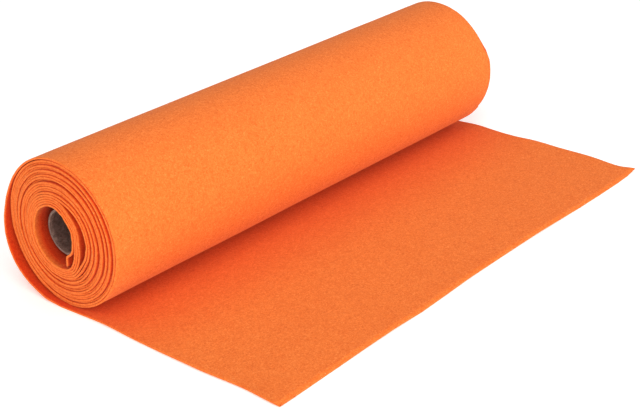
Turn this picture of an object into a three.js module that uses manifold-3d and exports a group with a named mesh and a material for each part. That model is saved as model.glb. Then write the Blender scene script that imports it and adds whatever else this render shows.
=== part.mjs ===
// Roll of craft felt: one length of felt wound on a cardboard tube, its last stretch laid out flat.
// Millimetres. X runs along the roll, Z is up, and the loose end lies towards -Y.
// An angle on the roll is seen from its near end, at -X: 0 is right (-Y), 90 is up, 180 is left.
import * as THREE from "three";
import { mergeVertices } from "three/addons/utils/BufferGeometryUtils.js";
import Module from "manifold-3d";

const wasm = await Module();
wasm.setup();

// Driving sizes
const FELT = 1.6; // thickness of the cloth
const ROLL_RADIUS = 54.4; // wound turns inside the loose last one
const HOLE_RADIUS = 21.9; // wound turns start here
const AXIS_HEIGHT = 55.8; // roll's axis above the surface that it rests on
const FLAT_SPOT = 8; // the last turn lies flat this far behind the axis
const SECTORS = 48; // steps round the roll
const ROWS_A_GROUP = 3; // steps across one group of turns
const SNAP = 0.2; // a row this close to a rim joins the rim

// The turns lie in groups, and each group stands proud of the next in one long spiral.
// Listed from the hole outwards.
const GROUPS = [
  { width: 4.4, near: 0.7, far: 0.5 },
  { width: 3.2, near: 0.6, far: 0.8 },
  { width: 3.1, near: 0.9, far: 0.5 },
  { width: 4.6, near: 1.1, far: 0.9 },
  { width: 5.4, near: 0.8, far: 0.6 },
  { width: 5.6, near: 1.0, far: 0.8 },
  { width: 6.2, near: 0.7, far: 0.6 },
];

// Across one group, from its groove at 0 to the next group's groove at 1
const GROUP_SHAPE = [
  { part: 0, height: 0 },
  { part: 1 / 3, height: 0.8 },
  { part: 2 / 3, height: 1 },
  { part: 1, height: 0 },
];
const GROOVE_DEPTH = 0.9;
const ROUNDING = 1e-6; // keeps a point on a groove in the group that starts there

// The near end is a low cone: its inner turns have slid out past its rim.
const NEAR_END = { rim: 221.3, cone: 5.4 };

// At the far end the turns inside the rim stand out by one step, which reaches the rim at one side.
const FAR_END = { rim: 212.7, step: 6.3 };
const FAR_STEP = [
  { angle: -90, run: 9 },
  { angle: -42, run: 8 },
  { angle: -22, run: 2 },
  { angle: 12, run: 2 },
  { angle: 32, run: 8 },
  { angle: 90, run: 9 },
  { angle: 270, run: 9 },
];

// The hole through the main turns widens at the right, where the first turns have come away.
const HOLE = [
  { angle: -90, radius: 21.9 },
  { angle: -76, radius: 22.3 },
  { angle: -60, radius: 25.0 },
  { angle: -40, radius: 26.5 },
  { angle: 0, radius: 26.8 },
  { angle: 45, radius: 26.5 },
  { angle: 78, radius: 25.3 },
  { angle: 100, radius: 23.2 },
  { angle: 122, radius: 22.0 },
  { angle: 165, radius: 21.9 },
  { angle: 207, radius: 22.2 },
  { angle: 245, radius: 22.0 },
  { angle: 270, radius: 21.9 },
];

// The first three turns hug the tube from below right, over its right side, to its top.
const FIRST_TURNS = [
  { angle: -94, inner: 22.7, outer: 24.6 },
  { angle: -80, inner: 22.6, outer: 24.1 },
  { angle: -70, inner: 21.6, outer: 23.7 },
  { angle: -58, inner: 19.4, outer: 23.0 },
  { angle: -44, inner: 17.5, outer: 22.2 },
  { angle: -22, inner: 16.2, outer: 21.6 },
  { angle: 0, inner: 15.6, outer: 21.3 },
  { angle: 26, inner: 16.2, outer: 21.5 },
  { angle: 54, inner: 17.2, outer: 22.1 },
  { angle: 80, inner: 19.1, outer: 23.0 },
  { angle: 104, inner: 20.9, outer: 24.0 },
  { angle: 126, inner: 22.5, outer: 24.2 },
];

// The cloth's first end stands up from the bottom of the hole to the turns beside the tube.
const FIRST_END = [
  { angle: -94, inner: 20.8, outer: 22.6 },
  { angle: -80, inner: 19.2, outer: 21.0 },
  { angle: -68, inner: 17.8, outer: 19.6 },
  { angle: -56, inner: 16.7, outer: 18.4 },
  { angle: -38, inner: 17.4, outer: 18.6 },
];

// The loose last turn leaves the roll at the top and bulges low at the left before it lies flat.
const LOOSE_TURN = [
  { angle: 60, radius: 54.2, near: 221.1, far: 212.4 },
  { angle: 85, radius: 54.9, near: 221.4, far: 213.2 },
  { angle: 110, radius: 55.5, near: 221.6, far: 214.6 },
  { angle: 135, radius: 55.6, near: 221.8, far: 216.6 },
  { angle: 160, radius: 55.7, near: 223.0, far: 218.6 },
  { angle: 172, radius: 56.2, near: 224.2, far: 219.6 },
  { angle: 182, radius: 57.2, near: 225.2, far: 220.4 },
  { angle: 192, radius: 58.6, near: 225.8, far: 221.2 },
  { angle: 204, radius: 59.8, near: 226.2, far: 222.2 },
  { angle: 217, radius: 60.3, near: 226.4, far: 223.2 },
  { angle: 230, radius: 59.3, near: 226.4, far: 224.0 },
  { angle: 243, radius: 58.0, near: 226.4, far: 224.6 },
  { angle: 254, radius: 56.9, near: 226.3, far: 225.0 },
];

// Outline of the flat stretch. "out" is the distance in front of the roll's axis.
const NEAR_EDGE = [
  { out: -8, reach: 226.2 },
  { out: 35, reach: 224.6 },
  { out: 75, reach: 225.9 },
  { out: 125, reach: 226.4 },
  { out: 165, reach: 224.6 },
  { out: 185, reach: 226.2 },
  { out: 198, reach: 224.4 },
];
const FAR_EDGE = [
  { out: -8, reach: 225.2 },
  { out: 18, reach: 223.4 },
  { out: 40, reach: 225.2 },
  { out: 78, reach: 223.2 },
  { out: 101, reach: 226.4 },
  { out: 140, reach: 225.8 },
  { out: 160, reach: 225.0 },
  { out: 181, reach: 222.8 },
  { out: 194, reach: 224.2 },
];
const FREE_EDGE = [
  { x: -225, out: 198.3, lift: 0.8 },
  { x: -165, out: 197.9, lift: 0.2 },
  { x: -110, out: 197.2, lift: 0.9 },
  { x: -70, out: 197.2, lift: 0.2 },
  { x: -20, out: 195.2, lift: 0.7 },
  { x: 25, out: 194.2, lift: 0.2 },
  { x: 80, out: 194.5, lift: 0.9 },
  { x: 136, out: 195.3, lift: 0.2 },
  { x: 200, out: 195.0, lift: 1.2 },
  { x: 225, out: 193.4, lift: 4.2 },
];
const LIFTED_BORDER = 14; // the free edge's lift fades over this width
const FLAT_STEPS = 12; // from the roll to the free edge
const FLAT_COLUMNS = 10; // along the roll
const FLAT_LENGTH = 196; // mean reach of the flat stretch

// The cardboard tube lies low in the hole, against its left side, a little inside both ends.
const TUBE = { radius: 17.3, wall: 1.6, near: -215.5, far: 214.5, y: 4.0, height: 53.8, steps: 36 };

// A smooth value of one column of a table against another
function smooth(table, key, value) {
  const keys = table.map((row) => row[key]);
  const values = table.map((row) => row[value]);
  const curve = new THREE.CubicInterpolant(keys, values, 1);
  return (at) => curve.evaluate(at)[0];
}

// The same with straight stretches
function straight(table, key, value) {
  const keys = table.map((row) => row[key]);
  const values = table.map((row) => row[value]);
  const line = new THREE.LinearInterpolant(keys, values, 1);
  return (at) => line.evaluate(at)[0];
}

// A point on the roll at an angle and radius
function onRoll(angle, radius, x) {
  const turned = THREE.MathUtils.degToRad(angle);
  return new THREE.Vector3(x, -radius * Math.cos(turned), AXIS_HEIGHT + radius * Math.sin(turned));
}

// A closed body between two grids of points, with walls round the border of the grids.
// A looped body meets itself at its last row and has no wall there.
function slab(rows, columns, over, under, looped) {
  const corners = [];
  const quad = (a, b, c, d) => corners.push(a, b, c, a, c, d);
  for (let i = 0; i < rows; i += 1) {
    for (let j = 0; j < columns; j += 1) {
      quad(over(i, j), over(i + 1, j), over(i + 1, j + 1), over(i, j + 1));
      quad(under(i, j), under(i, j + 1), under(i + 1, j + 1), under(i + 1, j));
    }
    quad(over(i, 0), under(i, 0), under(i + 1, 0), over(i + 1, 0));
    quad(over(i, columns), over(i + 1, columns), under(i + 1, columns), under(i, columns));
  }
  for (let j = 0; j < columns && !looped; j += 1) {
    quad(over(0, j), over(0, j + 1), under(0, j + 1), under(0, j));
    quad(over(rows, j), under(rows, j), under(rows, j + 1), over(rows, j + 1));
  }
  return new THREE.BufferGeometry().setFromPoints(corners);
}

// A closed geometry as a solid, without the triangles that its merged points leave flat
function solidFrom(geometry) {
  const merged = mergeVertices(geometry, 1e-3);
  const index = merged.index.array;
  const kept = [];
  for (let i = 0; i < index.length; i += 3) {
    const [a, b, c] = [index[i], index[i + 1], index[i + 2]];
    if (a !== b && b !== c && c !== a) kept.push(a, b, c);
  }
  const mesh = { numProp: 3, vertProperties: merged.attributes.position.array };
  mesh.triVerts = new Uint32Array(kept);
  return new wasm.Manifold(new wasm.Mesh(mesh));
}

// A solid as a geometry for a mesh
function geometryFrom(solid) {
  const mesh = solid.getMesh();
  const geometry = new THREE.BufferGeometry();
  geometry.setAttribute("position", new THREE.BufferAttribute(mesh.vertProperties, 3));
  geometry.setIndex(new THREE.BufferAttribute(mesh.triVerts, 1));
  geometry.computeVertexNormals();
  return geometry;
}

// Radius of each group's groove, against its number counted from the hole
const GROOVES = [{ place: 0, radius: HOLE_RADIUS }];
for (const group of GROUPS) {
  const last = GROOVES.at(-1);
  GROOVES.push({ place: last.place + 1, radius: last.radius + group.width });
}
const grooveRadius = straight(GROOVES, "place", "radius");
const groovePlace = straight(GROOVES, "radius", "place");
const groupShape = straight(GROUP_SHAPE, "part", "height");

// How far a group stands out of an end face, at a radius and a part of a turn
function ridge(radius, turned, end) {
  const place = groovePlace(radius) - turned;
  const number = Math.floor(place + ROUNDING);
  const group = GROUPS[THREE.MathUtils.clamp(number, 0, GROUPS.length - 1)];
  return (group[end] + GROOVE_DEPTH) * groupShape(place - number) - GROOVE_DEPTH;
}

// The main turns, with both end faces in spiral rows
function mainTurns() {
  const hole = smooth(HOLE, "angle", "radius");
  const stepRun = smooth(FAR_STEP, "angle", "run");
  const firstRow = -ROWS_A_GROUP; // rows of the turn before the first start inside the hole
  const rowCount = (GROUPS.length + 1) * ROWS_A_GROUP;
  const place = (i, j) => {
    if (i === SECTORS) return place(0, j + ROWS_A_GROUP);
    const turned = i / SECTORS;
    const angle = -90 + 360 * turned;
    const inner = hole(angle);
    let radius = grooveRadius((firstRow + j) / ROWS_A_GROUP + turned);
    if (radius < inner + SNAP) radius = inner;
    if (radius > ROLL_RADIUS - SNAP) radius = ROLL_RADIUS;
    return { angle, turned, radius };
  };
  const near = (i, j) => {
    const { angle, turned, radius } = place(i, j);
    const slid = (ROLL_RADIUS - radius) / (ROLL_RADIUS - HOLE_RADIUS);
    const x = NEAR_END.rim + NEAR_END.cone * slid + ridge(radius, turned, "near");
    return onRoll(angle, radius, -x);
  };
  const far = (i, j) => {
    const { angle, turned, radius } = place(i, j);
    const climbed = Math.min(1, (ROLL_RADIUS - radius) / stepRun(angle));
    const x = FAR_END.rim + FAR_END.step * climbed + ridge(radius, turned, "far");
    return onRoll(angle, radius, x);
  };
  return solidFrom(slab(SECTORS, rowCount, far, near, true));
}

// A band of cloth between two radii that change with the angle
function band(table, steps, near, far) {
  const inner = smooth(table, "angle", "inner");
  const outer = smooth(table, "angle", "outer");
  const [start, end] = [table[0].angle, table.at(-1).angle];
  const point = (i, j, x) => {
    const angle = start + ((end - start) * i) / steps;
    return onRoll(angle, j === 0 ? inner(angle) : outer(angle), x);
  };
  return solidFrom(slab(steps, 1, (i, j) => point(i, j, far), (i, j) => point(i, j, near), false));
}

// The loose last turn and the flat stretch, one grid along the cloth and across it
function looseEnd() {
  const radius = smooth(LOOSE_TURN, "angle", "radius");
  const nearTurn = smooth(LOOSE_TURN, "angle", "near");
  const farTurn = smooth(LOOSE_TURN, "angle", "far");
  const nearEdge = smooth(NEAR_EDGE, "out", "reach");
  const farEdge = smooth(FAR_EDGE, "out", "reach");
  const freeEdge = smooth(FREE_EDGE, "x", "out");
  const freeLift = smooth(FREE_EDGE, "x", "lift");
  const [start, end] = [LOOSE_TURN[0].angle, LOOSE_TURN.at(-1).angle];
  const turnSteps = Math.round(((end - start) / 360) * SECTORS);

  const point = (i, j, thickness) => {
    const across = j / FLAT_COLUMNS;
    if (i <= turnSteps) {
      const angle = start + ((end - start) * i) / turnSteps;
      const x = THREE.MathUtils.lerp(-nearTurn(angle), farTurn(angle), across);
      return onRoll(angle, radius(angle) - thickness, x);
    }
    const along = (i - turnSteps - 1) / FLAT_STEPS;
    const nominal = THREE.MathUtils.lerp(-FLAT_SPOT, FLAT_LENGTH, along);
    const x = THREE.MathUtils.lerp(-nearEdge(nominal), farEdge(nominal), across);
    const out = THREE.MathUtils.lerp(-FLAT_SPOT, freeEdge(x), along);
    const border = THREE.MathUtils.clamp(1 - (freeEdge(x) - out) / LIFTED_BORDER, 0, 1);
    return new THREE.Vector3(x, -out, freeLift(x) * border ** 2 + thickness);
  };
  const rows = turnSteps + 1 + FLAT_STEPS;
  const over = (i, j) => point(i, j, FELT);
  const under = (i, j) => point(i, j, 0);
  return solidFrom(slab(rows, FLAT_COLUMNS, over, under, false));
}

// The felt is one piece of cloth.
function felt() {
  const body = mainTurns()
    .add(band(FIRST_TURNS, 26, -226.3, 219.4))
    .add(band(FIRST_END, 8, -225.9, 218.8))
    .add(looseEnd());
  const material = new THREE.MeshStandardMaterial({ color: "#f07a35", roughness: 0.95, metalness: 0 });
  const mesh = new THREE.Mesh(geometryFrom(body), material);
  mesh.name = "felt";
  return mesh;
}

// The cardboard tube
function coreTube() {
  const bore = TUBE.radius - TUBE.wall;
  const length = TUBE.far - TUBE.near;
  const corners = [[bore, 0], [TUBE.radius, 0], [TUBE.radius, length], [bore, length], [bore, 0]];
  const profile = corners.map(([radius, along]) => new THREE.Vector2(radius, along));
  const material = new THREE.MeshStandardMaterial({ color: "#8d6a58", roughness: 0.85, metalness: 0 });
  const mesh = new THREE.Mesh(new THREE.LatheGeometry(profile, TUBE.steps), material);
  mesh.name = "core_tube";
  mesh.rotation.z = -Math.PI / 2;
  mesh.position.set(TUBE.near, TUBE.y, TUBE.height);
  return mesh;
}

// The origin is under the middle of the whole part, on the surface that it rests on.
const placed = new THREE.Group();
placed.add(felt(), coreTube());
placed.updateMatrixWorld(true);
const middle = new THREE.Box3().setFromObject(placed).getCenter(new THREE.Vector3());
placed.position.set(-middle.x, -middle.y, 0);

const roll = new THREE.Group();
roll.add(placed);

export default roll;
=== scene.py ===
"""Looks of the roll of felt: one wound sheet with every turn, its fuzz, and a spiral-wound cardboard tube.

Sizes are in millimetres in the roll's own frame: X along the roll, Y = 0 at its axis, and Z up from the
surface. An angle on the roll is seen from its near end, at -X: 0 is right (-Y), 90 is up, 180 is left.
"""
import math
import random

import bpy
import numpy as np
from mathutils import Matrix, Vector
from mathutils import noise as field


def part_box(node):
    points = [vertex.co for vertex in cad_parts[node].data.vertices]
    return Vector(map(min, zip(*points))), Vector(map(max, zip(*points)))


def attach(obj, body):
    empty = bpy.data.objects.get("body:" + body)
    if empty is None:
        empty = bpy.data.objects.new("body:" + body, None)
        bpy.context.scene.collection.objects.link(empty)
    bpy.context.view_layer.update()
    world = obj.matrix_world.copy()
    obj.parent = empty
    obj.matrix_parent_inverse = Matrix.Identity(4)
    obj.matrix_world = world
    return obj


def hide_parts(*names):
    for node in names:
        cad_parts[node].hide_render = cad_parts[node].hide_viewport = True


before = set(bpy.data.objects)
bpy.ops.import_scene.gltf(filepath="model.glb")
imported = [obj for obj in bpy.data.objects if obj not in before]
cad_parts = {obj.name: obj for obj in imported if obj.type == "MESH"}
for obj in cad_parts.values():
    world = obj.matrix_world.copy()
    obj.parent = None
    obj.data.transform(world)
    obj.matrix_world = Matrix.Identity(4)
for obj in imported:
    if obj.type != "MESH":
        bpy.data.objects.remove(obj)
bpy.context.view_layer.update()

MM = 0.001
RANDOM_SEED = 11

# The roll, as its solids are sized
AXIS_HEIGHT = 55.8
HOLE_RADIUS = 21.9
ROLL_RADIUS = 54.4
TUBE_NEAR = -215.5
TUBE_FAR = 214.5
TUBE_BESIDE_AXIS = 4.0
TUBE_HEIGHT = 53.8
TUBE_RADIUS = 17.3
TUBE_WALL = 1.6

# The cloth
CLOTH = 1.5
EDGE_BULGE = 0.22
PITCH = 1.608
WOUND_TURNS = 20
WOUND_FROM = 22 / 360  # the felt's inner end, in turns from the bottom
LOOSE_FROM = 19 + 150 / 360  # turns wound before the last one comes away
FLAT_FROM = 19 + 344 / 360  # turns wound before the cloth lies flat
FLAT_SPOT = 8.0
FLAT_LENGTH = 196.0

# Mesh steps
STEPS_A_TURN = 76
STEPS_LAST_TURN = 132
STEPS_LOOSE = 90
STEPS_FLAT = 44

# Where the columns of the mesh lie, in mm from each end and as parts of the stretch between
END_COLUMNS = (0.0, 0.7, 2.2, 6.0, 14.0)
MIDDLE_COLUMNS = 14

# The axis of the roll in the frame of the part
tube_low, tube_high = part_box("core_tube")
ORIGIN = Vector((
    tube_low[0] - TUBE_NEAR * MM,
    (tube_low[1] + tube_high[1]) / 2 - TUBE_BESIDE_AXIS * MM,
    0.0,
))


def smooth(table, at):
    """A smooth value read from rows of (place, value), constant outside them."""
    places = [row[0] for row in table]
    values = [row[1] for row in table]
    if at <= places[0]:
        return values[0]
    if at >= places[-1]:
        return values[-1]
    i = next(k for k in range(len(places)) if places[k + 1] >= at)
    x0, x1 = places[i], places[i + 1]
    step = x1 - x0
    rise = (values[i + 1] - values[i]) / step
    before, after = rise, rise
    if i > 0:
        before = (values[i + 1] - values[i - 1]) / (x1 - places[i - 1])
    if i + 2 < len(places):
        after = (values[i + 2] - values[i]) / (places[i + 2] - x0)
    t = (at - x0) / step
    return (
        (2 * t**3 - 3 * t**2 + 1) * values[i]
        + (t**3 - 2 * t**2 + t) * step * before
        + (3 * t**2 - 2 * t**3) * values[i + 1]
        + (t**3 - t**2) * step * after
    )


def ease(value):
    """0 to 1 with soft ends."""
    value = min(1.0, max(0.0, value))
    return value * value * (3 - 2 * value)


def wave(x, y, z=0.0):
    """Smooth noise from -1 to 1, the same in each run."""
    return field.noise(Vector((x, y, z)))


def lerp(a, b, t):
    return a + (b - a) * t


# How far the first turns lie inside their circle beside the tube: (angle, mm)
FIRST_TURN_INWARD = (
    (-68, 1.6), (-64, 4.0), (-60, 6.1), (-56, 7.0), (-49, 7.2), (-40, 6.9), (-29, 6.5), (-5, 6.8),
    (12, 6.4), (29, 5.5), (54, 4.7), (72, 3.3), (86, 2.0), (98, 1.3), (121, 0.6), (145, 0.0),
)
NEXT_TURNS_INWARD = (
    (-90, 0.0), (-75, 0.0), (-62, 0.3), (-55, 1.2), (-47, 2.6), (-33, 4.9), (-20, 6.0), (-5, 6.6),
    (12, 6.2), (29, 5.3), (54, 4.5), (72, 3.1), (86, 1.8), (98, 1.1), (121, 0.5), (145, 0.0),
)
FIRST_TURNS = 4
SPREAD_TURNS = 9.0  # beside the gap, this many turns share the shift
GAP_LOW_END = -62
GAP_OPENS_OVER = 72
GAP_HIGH_END = 84
GAP_CLOSES_OVER = 34
STEP_OUT_BY = 0.18  # turns after the first ones by which the cloth has crossed the gap
STEP_OUT_OVER = 0.15
OUT_OF_ROUND = 0.20
SLOPE_STEP = 0.004  # turns
MOST_THICKENED = 2.6

# The loose last turn: (angle, outer radius)
LOOSE_TURN = (
    (40, 54.5), (60, 54.6), (85, 54.9), (110, 55.4), (135, 55.6), (160, 55.9), (172, 56.4), (182, 57.3),
    (192, 58.6), (204, 59.8), (217, 60.3), (230, 59.3), (243, 58.0), (254, 56.9),
)
LOOSE_NEAR = (
    (40, 221.3), (85, 221.4), (135, 221.8), (160, 223.0), (172, 224.2), (182, 225.2),
    (192, 225.8), (204, 226.2), (217, 226.4), (254, 226.3),
)
LOOSE_FAR = (
    (40, 212.7), (85, 213.2), (110, 214.6), (135, 216.6), (160, 218.6), (182, 220.4),
    (204, 222.2), (217, 223.2), (230, 224.0), (254, 225.0),
)

# The flat stretch's outline: (distance in front of the axis, reach) and (x, distance, lift)
NEAR_EDGE = ((-8, 226.2), (35, 224.6), (75, 225.9), (125, 226.4), (165, 224.6), (185, 225.8), (198, 226.0))
FAR_EDGE = (
    (-8, 225.2), (18, 223.4), (40, 225.2), (78, 223.2), (101, 226.4), (140, 225.8),
    (160, 225.0), (181, 223.2), (190, 224.6), (196, 225.8),
)
FREE_EDGE = (
    (-225, 199.6), (-165, 198.0), (-110, 197.2), (-70, 197.2), (-20, 195.2), (25, 194.2),
    (80, 194.5), (136, 195.3), (200, 195.0), (225, 193.4),
)
FREE_LIFT = (
    (-225, 0.2), (-165, 0.2), (-110, 0.9), (-70, 0.2), (-20, 0.7), (25, 0.2), (80, 0.9),
    (136, 0.2), (206, 0.1), (216, 0.2), (225, 1.0),
)
LIFTED_BORDER = 14.0
SIDE_BORDER = 16.0
SIDE_LIFT = 0.35
SIDE_WAVE = 0.5
SIDES_FREE_FROM = 30.0
SWELL_HEIGHT = 0.7
SWELLS_FROM = 45.0

# Turns that have sunk into the near end: (turn at their middle, depth)
SUNK_TURNS = ((1.7, 0.5), (6.3, 1.2), (8.0, 0.8), (10.4, 1.6), (13.4, 1.1), (15.3, 0.7), (17.2, 1.2))
PROUD_TURNS = ((4.6, 0.5), (7.2, 0.5), (9.2, 0.9), (11.9, 0.8), (14.4, 0.5), (16.3, 0.4), (18.4, 0.5))
SUNK_REACH = 0.75
PROUD_REACH = 0.9
SUNK_UNEVEN = 0.7
RELIEF_WAVES = ((0.45, 2.3, 3.1), (0.42, 6.3, 9.4))  # (height, waves a turn, place in the noise)
EDGE_WAVES = ((0.26, 29.0, 7.0), (0.26, 83.0, 3.0))
FAR_RELIEF = 0.8  # as a part of the near end's
SETTLED_WITHIN = 3.0
NEAR_RIM = 221.3
NEAR_CONE = 5.4
FAR_RIM = 212.7
FAR_STEP = 6.3
FAR_STEP_RUN = ((-90, 9.0), (-66, 7.0), (-46, 1.6), (14, 1.6), (34, 8.0), (90, 9.0), (270, 9.0))


def turn_relief(turns):
    """How far the cloth's edge stands out of the near end, by turns wound."""
    turned = math.tau * turns
    out = 0.0
    for middle, depth in SUNK_TURNS:
        uneven = 1 + SUNK_UNEVEN * wave(1.2 * math.cos(turned), 1.2 * math.sin(turned), middle)
        out -= depth * uneven * ease(1 - abs(turns - middle) / SUNK_REACH)
    for middle, height in PROUD_TURNS:
        out += height * ease(1 - abs(turns - middle) / PROUD_REACH)
    for height, rate, place in RELIEF_WAVES:
        out += height * wave(turns * rate, place)
    return out


def inward_share(turns, angle):
    """The part of the first turns' inward shift that a turn takes, 1 to 0."""
    stepped = ease((FIRST_TURNS + STEP_OUT_BY - turns) / STEP_OUT_OVER)
    spread = ease((SPREAD_TURNS - turns) / (SPREAD_TURNS - 0.5))
    opened = ease((angle - GAP_LOW_END) / GAP_OPENS_OVER) * ease((GAP_HIGH_END - angle) / GAP_CLOSES_OVER)
    return lerp(spread, stepped, opened)


def wound_row(turns):
    """Angle, inner radius and edges of the cloth after a number of turns."""
    angle = -90 + 360 * (turns % 1)
    radius = HOLE_RADIUS + PITCH * turns
    inward = FIRST_TURN_INWARD if turns < 1 else NEXT_TURNS_INWARD
    radius -= smooth(inward, angle) * inward_share(turns, angle)
    turned = math.tau * turns
    radius += OUT_OF_ROUND * wave(3.0 * math.cos(turned), 3.0 * math.sin(turned), turns * 0.12)
    from_rim = max(0.0, ROLL_RADIUS - HOLE_RADIUS - PITCH * turns - CLOTH)
    slid = from_rim / (ROLL_RADIUS - HOLE_RADIUS)
    relief = turn_relief(turns)
    settle = ease(from_rim / SETTLED_WITHIN)
    near = NEAR_RIM + NEAR_CONE * slid + relief * settle
    climbed = ease(from_rim / smooth(FAR_STEP_RUN, angle) + 0.15) if from_rim > 0.2 else 0.0
    far = FAR_RIM + FAR_STEP * climbed - FAR_RELIEF * relief * settle
    return angle, radius, near, far


def steepness(turns):
    """How many times its own thickness the cloth measures along a radius, where it climbs steeply."""
    ahead = wound_row(turns + SLOPE_STEP)
    behind = wound_row(max(WOUND_FROM, turns - SLOPE_STEP))
    climb = (ahead[1] - behind[1]) / (math.tau * 2 * SLOPE_STEP * ahead[1])
    return min(MOST_THICKENED, math.hypot(1.0, climb))


def loose_row(turns):
    """The same for the last turn, from where it leaves the roll."""
    angle = -90 + 360 * (turns % 1)
    return angle, smooth(LOOSE_TURN, angle) - CLOTH, smooth(LOOSE_NEAR, angle), smooth(LOOSE_FAR, angle)


def roll_point(angle, radius, x):
    turned = math.radians(angle)
    return (x, -radius * math.cos(turned), AXIS_HEIGHT + radius * math.sin(turned))


def column_places():
    """Each column's distance from one end, as a part of the width and a fixed distance in mm."""
    places = [(0.0, d) for d in END_COLUMNS]
    places += [((k + 1) / (MIDDLE_COLUMNS + 1), 0.0) for k in range(MIDDLE_COLUMNS)]
    places += [(1.0, -d) for d in reversed(END_COLUMNS)]
    return places


COLUMNS = column_places()


def flat_point(along, column, up):
    """A point of the flat stretch, up = 0 on its underside and 1 on its top."""
    part, shift = COLUMNS[column]
    nominal = lerp(-FLAT_SPOT, FLAT_LENGTH, along)
    x = lerp(-smooth(NEAR_EDGE, nominal), smooth(FAR_EDGE, nominal), part) + shift
    free = smooth(FREE_EDGE, x)
    out = lerp(-FLAT_SPOT, free, along)
    border = ease(1 - (free - out) / LIFTED_BORDER)
    lift = smooth(FREE_LIFT, x) * border
    edge = min(smooth(NEAR_EDGE, out) + x, smooth(FAR_EDGE, out) - x)
    side = ease(1 - edge / SIDE_BORDER) * ease(out / SIDES_FREE_FROM)
    lift += side * (SIDE_LIFT + SIDE_WAVE * wave(out * 0.03, x * 0.01, 5.0))
    swell = 0.45 + 0.55 * wave(x * 0.011, out * 0.014, 2.0)
    lift += SWELL_HEIGHT * ease(out / SWELLS_FROM) * (1 - border) * max(0.0, swell)
    return (x, -out, lift + up * CLOTH)


def edge_roughness(turns, end):
    """Small unevenness of the cut edge."""
    return sum(height * wave(turns * rate, end * place) for height, rate, place in EDGE_WAVES)


# Painted shade: how much darker and redder the cloth is painted where shade falls (between turns, on the
# hole's wall, inside the loose turn, and where the roll shadows the flat stretch), column by column from a
# cut edge
SHADE_BETWEEN_TURNS = (0.22, 0.60, 0.80)  # between two turns
SHADE_ON_HOLE_WALL = (0.0, 0.15, 0.42, 0.85, 1.0)  # on the wall of the hole
SHADE_INSIDE_LOOSE_TURN = (0.40, 0.75, 0.80)  # inside the loose turn
SHOWN_AT_FAR_END = 2.2  # turns whose outer side shows where the far end steps out
CREASE_SHADOW_REACH = 108.0
CREASE_SHADOW_STRENGTH = 0.76
CREASE_SHADOW_FADE = 1.15
OUTER_SWELL = 0.22
SWELLING_TURNS = 1.2


def shade_by_column(table):
    """One value for each column from a table that starts at both cut edges."""
    count = len(COLUMNS)
    return [table[min(c, count - 1 - c, len(table) - 1)] for c in range(count)]


def sheet_rows():
    """Every row of the cloth: its inner or top points, its outer or under points, and the painted shade of
    both.
    """
    rows = []
    clear = [0.0] * len(COLUMNS)
    inner_steps = int((WOUND_TURNS - 1 - WOUND_FROM) * STEPS_A_TURN)
    last_steps = int((LOOSE_FROM - WOUND_TURNS + 1) * STEPS_LAST_TURN)
    wound = [lerp(WOUND_FROM, WOUND_TURNS - 1, i / inner_steps) for i in range(inner_steps)]
    wound += [lerp(WOUND_TURNS - 1, LOOSE_FROM, i / last_steps) for i in range(last_steps)]
    loose = [lerp(LOOSE_FROM, FLAT_FROM, i / STEPS_LOOSE) for i in range(STEPS_LOOSE + 1)]
    for turns in wound + loose:
        row = wound_row(turns) if turns < LOOSE_FROM else loose_row(turns)
        angle, radius, near, far = row
        near += edge_roughness(turns, 1)
        far += edge_roughness(turns, 2)
        inner, outer = [], []
        thick = CLOTH * (steepness(turns) if turns < 1 else 1.0)
        for part, shift in COLUMNS:
            x = lerp(-near, far, part) + shift
            swell = 0.0
            if turns > WOUND_TURNS - SWELLING_TURNS:
                swell = OUTER_SWELL * wave(x * 0.02, turns * 5.0, 8.0)
            inner.append(roll_point(angle, radius + swell, x))
            outer.append(roll_point(angle, radius + swell + thick, x))
        # painted shade on the faces in the hole, between turns and inside the loose turn; none on the roll's
        # outer face
        inside = SHADE_ON_HOLE_WALL if turns < 1 else SHADE_BETWEEN_TURNS if turns < LOOSE_FROM else SHADE_INSIDE_LOOSE_TURN
        outside = shade_by_column(SHADE_BETWEEN_TURNS) if turns < WOUND_TURNS - 1 else clear
        # no painted shade on the far end's half of the turns that show where the far end steps out
        if turns > WOUND_TURNS - SHOWN_AT_FAR_END:
            outside = [value if c < len(COLUMNS) / 2 else 0.0 for c, value in enumerate(outside)]
        rows.append((inner, outer, shade_by_column(inside), outside))
    count = len(COLUMNS)
    for i in range(1, STEPS_FLAT + 1):
        along = i / STEPS_FLAT
        top = [flat_point(along, c, 1) for c in range(count)]
        under = [flat_point(along, c, 0) for c in range(count)]
        # painted shadow of the roll on the flat stretch, darkest at the roll's foot and fading away from the
        # roll
        crease_shadow = [CREASE_SHADOW_STRENGTH * max(0.0, 1 + point[1] / CREASE_SHADOW_REACH) ** CREASE_SHADOW_FADE for point in top]
        rows.append((top, under, crease_shadow, clear))
    return rows


def mesh_object(name, points, faces, material, soft=True):
    """A mesh object in the part's frame from points in the roll's frame."""
    mesh = bpy.data.meshes.new(name)
    placed = np.asarray(points, dtype=float) * MM + np.array(ORIGIN)
    mesh.from_pydata(placed.tolist(), [], faces)
    mesh.validate()
    mesh.materials.append(material)
    if soft:
        mesh.polygons.foreach_set("use_smooth", [True] * len(mesh.polygons))
    mesh.update()
    piece = bpy.data.objects.new(name, mesh)
    bpy.context.scene.collection.objects.link(piece)
    return piece


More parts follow.
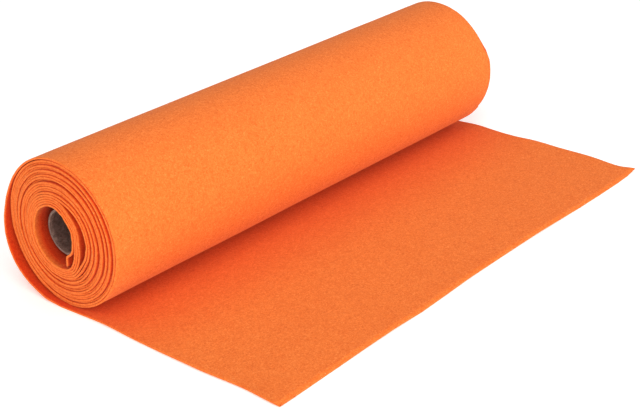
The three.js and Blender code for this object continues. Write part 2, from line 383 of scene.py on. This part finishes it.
def felt_sheet(material):
    """The whole cloth as one closed sheet with round cut edges."""
    rows = sheet_rows()
    count = len(COLUMNS)
    points, painted_shades = [], []
    for inner, outer, inner_shade, outer_shade in rows:
        near_mid = np.add(inner[0], outer[0]) / 2 + np.array((-EDGE_BULGE, 0, 0))
        far_mid = np.add(inner[-1], outer[-1]) / 2 + np.array((EDGE_BULGE, 0, 0))
        points += [*inner, tuple(far_mid), *reversed(outer), tuple(near_mid)]
        painted_shades += [*inner_shade, 0.0, *reversed(outer_shade), 0.0]
    ring = 2 * count + 2
    faces = []
    for i in range(len(rows) - 1):
        for k in range(ring):
            a, b = i * ring + k, i * ring + (k + 1) % ring
            faces.append((a, a + ring, b + ring, b))
    start = 0
    end = (len(rows) - 1) * ring
    for k in range(count - 1):
        other = 2 * count - k
        faces.append((start + k, start + k + 1, start + other - 1, start + other))
        faces.append((end + k + 1, end + k, end + other, end + other - 1))
    faces.append((start + 2 * count + 1, start + 0, start + 2 * count))
    faces.append((start + count - 1, start + count, start + count + 1))
    faces.append((end + 0, end + 2 * count + 1, end + 2 * count))
    faces.append((end + count, end + count - 1, end + count + 1))
    piece = mesh_object("felt_cloth", points, faces, material)
    # the painted shade of each point is kept in the cloth's depth attribute
    piece.data.attributes.new("depth", "FLOAT", "POINT").data.foreach_set("value", painted_shades)
    return piece


# Fibres that stand out of the cloth, in mm
EDGE_FIBRES = 5200
SIDE_FIBRES = 1500
FACE_FIBRES = 3600
NEAR_END_SHARE = 0.7
ROLL_SHARE = 0.6
FIBRE_RADIUS = (0.03, 0.055)
FIBRE_BEND = 0.35
STRAY_FIBRE = ((-225.9, 17.2, 30.8), (-227.0, 18.6, 33.0), (-226.4, 20.3, 34.6))
STRAY_RADIUS = 0.16


def fibre(points, faces, path, radius):
    """A three-sided strand along three points, with a pointed end."""
    start = len(points)
    first, second, tip = (np.array(place, dtype=float) for place in path)
    along = (tip - first) / (np.linalg.norm(tip - first) + 1e-9)
    aside = np.cross(along, (0.3, 0.5, 0.8))
    aside /= np.linalg.norm(aside) + 1e-9
    other = np.cross(along, aside)
    for middle, size in ((first, radius), (second, 0.8 * radius)):
        for k in range(3):
            turned = math.tau * k / 3
            points.append(tuple(middle + size * (math.cos(turned) * aside + math.sin(turned) * other)))
    points.append(tuple(tip))
    for k in range(3):
        n = (k + 1) % 3
        faces.append((start + k, start + n, start + 3 + n, start + 3 + k))
        faces.append((start + 3 + k, start + 3 + n, start + 6))


def strand(points, faces, chance, root, way, length):
    """One fibre from a root, bent a little on its way out."""
    way = np.array(way, dtype=float)
    way /= np.linalg.norm(way)
    bend = np.array([chance.uniform(-1, 1) for _ in range(3)]) * FIBRE_BEND * length
    root = np.array(root, dtype=float)
    middle = root + 0.5 * length * way + 0.4 * bend
    path = (root - 0.1 * way, middle, root + length * way + bend)
    fibre(points, faces, path, chance.uniform(*FIBRE_RADIUS))


def fuzz(material):
    """Short fibres on the cut edges and lying on the faces that show."""
    chance = random.Random(RANDOM_SEED)
    points, faces = [], []
    for _ in range(EDGE_FIBRES):
        turns = chance.uniform(WOUND_FROM, FLAT_FROM)
        angle, radius, near, far = wound_row(turns) if turns < LOOSE_FROM else loose_row(turns)
        side = -1 if chance.random() < NEAR_END_SHARE else 1
        x = -near - 0.05 if side < 0 else far + 0.05
        root = roll_point(angle + chance.uniform(-2, 2), radius + chance.uniform(0.1, CLOTH - 0.1), x)
        way = (side * chance.uniform(0.3, 1.0), chance.uniform(-1, 1), chance.uniform(-1, 1))
        strand(points, faces, chance, root, way, chance.uniform(0.4, 1.5))
    last = len(COLUMNS) - 1
    for _ in range(SIDE_FIBRES):
        along = chance.uniform(0.1, 1.0)
        edge = chance.choice(("near", "far", "free"))
        column = 0 if edge == "near" else last if edge == "far" else chance.randrange(last + 1)
        root = flat_point(1.0 if edge == "free" else along, column, chance.uniform(0.3, 0.9))
        outward = {"near": (-1, 0), "far": (1, 0), "free": (0, -1)}[edge]
        aside = (chance.uniform(-0.8, 0.8), chance.uniform(-0.8, 0.8))
        way = (outward[0] + aside[0], outward[1] + aside[1], chance.uniform(0, 0.5))
        strand(points, faces, chance, root, way, chance.uniform(0.4, 1.4))
    for _ in range(FACE_FIBRES):
        lift = chance.uniform(0.05, 0.35)
        if chance.random() < ROLL_SHARE:
            turns = chance.uniform(WOUND_TURNS - 0.9, FLAT_FROM)
            angle, radius, near, far = wound_row(turns) if turns < LOOSE_FROM else loose_row(turns)
            x = lerp(-near, far, chance.uniform(0.01, 0.99))
            root = np.array(roll_point(angle, radius + CLOTH, x))
            turned = math.radians(angle)
            out = np.array((0.0, -math.cos(turned), math.sin(turned)))
            round_roll = np.array((0.0, math.sin(turned), math.cos(turned)))
        else:
            root = np.array(flat_point(chance.uniform(0.2, 0.98), chance.randrange(1, last), 1.0))
            root[0] += chance.uniform(-12, 12) * (0.1 < (root[0] + 225) / 450 < 0.9)
            out = np.array((0.0, 0.0, 1.0))
            round_roll = np.array((0.0, 1.0, 0.0))
        along_roll = chance.uniform(-1, 1) * np.array((1.0, 0.0, 0.0))
        way = along_roll + chance.uniform(-1, 1) * round_roll + lift * out
        strand(points, faces, chance, root, way, chance.uniform(0.6, 1.8))
    fibre(points, faces, STRAY_FIBRE, STRAY_RADIUS)
    return mesh_object("felt_fuzz", points, faces, material)


# Materials

def principled(name):
    material = bpy.data.materials.new(name)
    material.use_nodes = True
    tree = material.node_tree
    shader = tree.nodes["Principled BSDF"]
    return material, tree, shader


def node(tree, kind, **values):
    made = tree.nodes.new(kind)
    for key, value in values.items():
        if key in made.inputs:
            made.inputs[key].default_value = value
        else:
            setattr(made, key, value)
    return made


def noise_node(tree, where, scale, detail, distortion=0.0, roughness=0.5):
    made = node(tree, "ShaderNodeTexNoise")
    made.inputs["Scale"].default_value = scale
    made.inputs["Detail"].default_value = detail
    made.inputs["Distortion"].default_value = distortion
    made.inputs["Roughness"].default_value = roughness
    tree.links.new(where, made.inputs["Vector"])
    return made.outputs["Fac"]


def ramp(tree, value, stops):
    made = node(tree, "ShaderNodeValToRGB")
    elements = made.color_ramp.elements
    while len(elements) < len(stops):
        elements.new(0.5)
    for element, (place, color) in zip(elements, stops):
        element.position = place
        element.color = (*color, 1.0)
    tree.links.new(value, made.inputs["Fac"])
    return made.outputs["Color"]


def mixed(tree, amount, a, b, how="MIX"):
    made = node(tree, "ShaderNodeMix", data_type="RGBA", blend_type=how)
    for value, socket in ((amount, "Factor"), (a, "A"), (b, "B")):
        plug = next(s for s in made.inputs if s.name == socket and s.enabled)
        if isinstance(value, bpy.types.NodeSocket):
            tree.links.new(value, plug)
        else:
            plug.default_value = value if isinstance(value, float) else (*value, 1.0)
    return next(s for s in made.outputs if s.enabled)


def bump(tree, shader, layers):
    """Chained bumps from (height, distance in m, strength)."""
    normal = None
    for height, distance, strength in layers:
        made = node(tree, "ShaderNodeBump")
        made.inputs["Distance"].default_value = distance
        made.inputs["Strength"].default_value = strength
        tree.links.new(height, made.inputs["Height"])
        if normal is not None:
            tree.links.new(normal, made.inputs["Normal"])
        normal = made.outputs["Normal"]
    tree.links.new(normal, shader.inputs["Normal"])


FELT_DEEP = (0.68, 0.105, 0.014)
FELT_BODY = (0.85, 0.192, 0.032)
FELT_PALE = (0.95, 0.290, 0.072)
# painted shade colours, multiplied in where the depth attribute marks shade
FELT_SHADED = (0.83, 0.27, 0.21)
FELT_DARKEST_SHADE = (0.42, 0.10, 0.10)


def felt_material():
    material, tree, shader = principled("felt_orange")
    where = node(tree, "ShaderNodeTexCoord").outputs["Object"]
    grain = noise_node(tree, where, 760.0, 5.0, 1.2, 0.66)
    mottle = noise_node(tree, where, 260.0, 3.0, 0.8)
    broad = noise_node(tree, where, 22.0, 2.0)
    color = ramp(tree, grain, ((0.30, FELT_DEEP), (0.52, FELT_BODY), (0.72, FELT_PALE)))
    patches = ramp(tree, mottle, ((0.35, (0.92, 0.84, 0.80)), (0.65, (1.0, 1.0, 1.0))))
    color = mixed(tree, 0.7, color, patches, "MULTIPLY")
    clouds = ramp(tree, broad, ((0.3, (0.97, 0.95, 0.93)), (0.7, (1.0, 1.0, 1.0))))
    color = mixed(tree, 0.6, color, clouds, "MULTIPLY")
    # painted shade: the depth attribute darkens and reddens the cloth in gaps between turns, in the hole,
    # inside the loose turn and in the roll's shadow on the flat stretch
    depth = node(tree, "ShaderNodeAttribute", attribute_name="depth").outputs["Fac"]
    painted_shade_tint = ramp(tree, depth, ((0.0, (1.0, 1.0, 1.0)), (0.8, FELT_SHADED), (1.0, FELT_DARKEST_SHADE)))
    color = mixed(tree, 1.0, color, painted_shade_tint, "MULTIPLY")
    tree.links.new(color, shader.inputs["Base Color"])
    shader.inputs["Roughness"].default_value = 0.95
    shader.inputs["Specular IOR Level"].default_value = 0.12
    shader.inputs["Sheen Weight"].default_value = 0.14
    shader.inputs["Sheen Roughness"].default_value = 0.45
    shader.inputs["Sheen Tint"].default_value = (1.0, 0.62, 0.38, 1.0)
    fibres = noise_node(tree, where, 1500.0, 4.0, 2.2, 0.7)
    bump(tree, shader, ((grain, 0.0006, 0.55), (fibres, 0.00025, 0.5)))
    return material


CARD_DARK = (0.085, 0.050, 0.040)
CARD_BODY = (0.175, 0.105, 0.086)
CARD_PALE = (0.26, 0.170, 0.140)


def card_material():
    material, tree, shader = principled("cardboard_grey_brown")
    where = node(tree, "ShaderNodeTexCoord").outputs["Object"]
    stretched = node(tree, "ShaderNodeMapping")
    stretched.inputs["Scale"].default_value = (0.8, 1.0, 1.0)
    tree.links.new(where, stretched.inputs["Vector"])
    pulp = noise_node(tree, stretched.outputs["Vector"], 420.0, 5.0, 0.6, 0.65)
    stain = noise_node(tree, where, 60.0, 3.0)
    color = ramp(tree, pulp, ((0.32, CARD_DARK), (0.55, CARD_BODY), (0.75, CARD_PALE)))
    stains = ramp(tree, stain, ((0.35, (0.82, 0.80, 0.78)), (0.65, (1.0, 1.0, 1.0))))
    color = mixed(tree, 0.7, color, stains, "MULTIPLY")
    tree.links.new(color, shader.inputs["Base Color"])
    shader.inputs["Roughness"].default_value = 0.95
    shader.inputs["Specular IOR Level"].default_value = 0.05
    bump(tree, shader, ((pulp, 0.0003, 0.4),))
    return material


def rim_material():
    material, tree, shader = principled("cardboard_cut_rim")
    where = node(tree, "ShaderNodeTexCoord").outputs["Object"]
    pulp = noise_node(tree, where, 700.0, 4.0, 0.5, 0.6)
    color = ramp(tree, pulp, ((0.3, (0.15, 0.10, 0.08)), (0.7, (0.30, 0.21, 0.175))))
    tree.links.new(color, shader.inputs["Base Color"])
    shader.inputs["Roughness"].default_value = 0.9
    shader.inputs["Specular IOR Level"].default_value = 0.15
    bump(tree, shader, ((pulp, 0.0004, 0.6),))
    return material


# The cardboard tube

TUBE_SIDES = 96
TUBE_RINGS = 120
SEAM_PITCH = 58.0
SEAM_WIDTH = 1.1
SEAM_DEPTH = 0.22
SEAM_SHIFT = 9.0  # between the seams of the two faces
PLIES = 6
PLY_STEPS = (-0.06, 0.10)
CUT_ROUGHNESS = 0.12


def tube_point(angle, radius, x):
    turned = math.radians(angle)
    y = TUBE_BESIDE_AXIS - radius * math.cos(turned)
    return (x, y, TUBE_HEIGHT + radius * math.sin(turned))


def seam(angle, x):
    """Depth of the wound strip's seam at a place on the tube's wall."""
    strip = (x / SEAM_PITCH + angle / 360.0) % 1.0
    away = min(strip, 1 - strip) * SEAM_PITCH
    return SEAM_DEPTH * ease(1 - away / SEAM_WIDTH)


def card_tube(wall_material, cut_material):
    """The tube with a spiral seam in both faces and plies in its cut ends."""
    bore = TUBE_RADIUS - TUBE_WALL
    length = TUBE_FAR - TUBE_NEAR
    profile = []
    for k in range(TUBE_RINGS + 1):
        profile.append(("outer", TUBE_RADIUS, TUBE_NEAR + length * k / TUBE_RINGS))
    for k in range(1, PLIES):
        step = PLY_STEPS[k % 2]
        profile.append(("far", lerp(TUBE_RADIUS, bore, k / PLIES), TUBE_FAR - step))
    for k in range(TUBE_RINGS + 1):
        profile.append(("bore", bore, TUBE_FAR - length * k / TUBE_RINGS))
    for k in range(1, PLIES):
        step = PLY_STEPS[k % 2]
        profile.append(("near", lerp(bore, TUBE_RADIUS, k / PLIES), TUBE_NEAR + step))
    points, faces, cut = [], [], []
    for i in range(TUBE_SIDES):
        angle = 360.0 * i / TUBE_SIDES
        for kind, radius, x in profile:
            if kind == "outer":
                radius -= seam(angle, x)
            if kind == "bore":
                radius += seam(angle, x + SEAM_SHIFT)
            if kind in ("near", "far"):
                x += CUT_ROUGHNESS * wave(angle * 0.2, radius * 2.0, 4.0)
            points.append(tube_point(angle, radius, x))
    ring = len(profile)
    for i in range(TUBE_SIDES):
        for k in range(ring):
            a, b = i * ring + k, i * ring + (k + 1) % ring
            c, d = (i + 1) % TUBE_SIDES * ring + k, (i + 1) % TUBE_SIDES * ring + (k + 1) % ring
            faces.append((a, b, d, c))
            kinds = {profile[k][0], profile[(k + 1) % ring][0]}
            cut.append(1 if kinds & {"near", "far"} else 0)
    piece = mesh_object("card_tube", points, faces, wall_material)
    piece.data.materials.append(cut_material)
    piece.data.polygons.foreach_set("material_index", cut)
    return piece


# Camera and light, in the roll's frame

CAMERA_PLACE = (-795.8, -717.4, 501.3)
CAMERA_YAW = 49.715
CAMERA_PITCH = 25.291
CAMERA_ROLL = -0.819
FOCAL_PIXELS = 1478.0
IMAGE_WIDTH = 640
SENSOR = 36.0
WORLD_LIGHT = 0.55
FLOOR_REACH = 6.0  # m
FLOOR_DROP = 0.0002  # m
FLOOR_GREY = 0.97
FLOOR_GLOW = 0.25

# (name, place, height that it points at, size, power in W, colour), in m
LIGHTS = (
    ("key", (-1.3, -0.9, 2.2), 0.03, 1.4, 20.0, (1.0, 0.985, 0.96)),
    ("fill", (1.6, -1.6, 1.3), 0.03, 1.6, 15.0, (1.0, 1.0, 0.98)),
    ("front", (-0.2, -2.0, 0.6), 0.05, 1.6, 22.0, (1.0, 0.96, 0.88)),
    ("end", (-2.2, -0.6, 0.7), 0.05, 1.4, 18.0, (1.0, 0.97, 0.92)),
)


def camera():
    yaw, pitch, roll = (math.radians(a) for a in (CAMERA_YAW, CAMERA_PITCH, CAMERA_ROLL))
    forward = Vector((math.cos(pitch) * math.sin(yaw), math.cos(pitch) * math.cos(yaw), -math.sin(pitch)))
    right = Vector((math.cos(yaw), -math.sin(yaw), 0.0))
    up = right.cross(forward)
    turned_right = math.cos(roll) * right + math.sin(roll) * up
    turned_up = -math.sin(roll) * right + math.cos(roll) * up
    data = bpy.data.cameras.new("camera")
    data.sensor_fit = "HORIZONTAL"
    data.sensor_width = SENSOR
    data.lens = FOCAL_PIXELS / IMAGE_WIDTH * SENSOR
    data.clip_end = 20.0
    data.dof.use_dof = False
    made = bpy.data.objects.new("camera", data)
    basis = Matrix((turned_right, turned_up, -forward)).transposed()
    made.matrix_world = Matrix.Translation(ORIGIN + Vector(CAMERA_PLACE) * MM) @ basis.to_4x4()
    bpy.context.scene.collection.objects.link(made)
    bpy.context.scene.camera = made


def area_light(name, place, height, size, power, color):
    data = bpy.data.lights.new(name, "AREA")
    data.shape = "DISK"
    data.size = size
    data.energy = power
    data.color = color
    made = bpy.data.objects.new(name, data)
    place = Vector(place)
    made.location = place
    made.rotation_euler = (Vector((0, 0, height)) - place).to_track_quat("-Z", "Y").to_euler()
    bpy.context.scene.collection.objects.link(made)


def studio():
    bpy.context.scene.view_settings.view_transform = "Standard"
    world = bpy.data.worlds.new("studio")
    world.use_nodes = True
    back = world.node_tree.nodes["Background"]
    back.inputs["Color"].default_value = (1.0, 1.0, 1.0, 1.0)
    back.inputs["Strength"].default_value = WORLD_LIGHT
    bpy.context.scene.world = world
    for light in LIGHTS:
        area_light(*light)


def floor():
    data = bpy.data.meshes.new("floor")
    corners = [(FLOOR_REACH * x, FLOOR_REACH * y, 0) for x, y in ((-1, -1), (1, -1), (1, 1), (-1, 1))]
    data.from_pydata(corners, [], [(0, 1, 2, 3)])
    material, _, shader = principled("pale_floor")
    shader.inputs["Base Color"].default_value = (FLOOR_GREY, FLOOR_GREY, FLOOR_GREY, 1.0)
    shader.inputs["Emission Color"].default_value = (1.0, 1.0, 1.0, 1.0)
    shader.inputs["Emission Strength"].default_value = FLOOR_GLOW
    shader.inputs["Roughness"].default_value = 0.9
    shader.inputs["Specular IOR Level"].default_value = 0.1
    data.materials.append(material)
    made = bpy.data.objects.new("floor", data)
    made.location.z = -FLOOR_DROP
    bpy.context.scene.collection.objects.link(made)


camera()
studio()
floor()

felt_look = felt_material()
cloth = felt_sheet(felt_look)
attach(cloth, "root")
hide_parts("felt")

fibres = fuzz(felt_look)
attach(fibres, "root")

tube = card_tube(card_material(), rim_material())
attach(tube, "root")
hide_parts("core_tube")

bpy.context.view_layer.update()
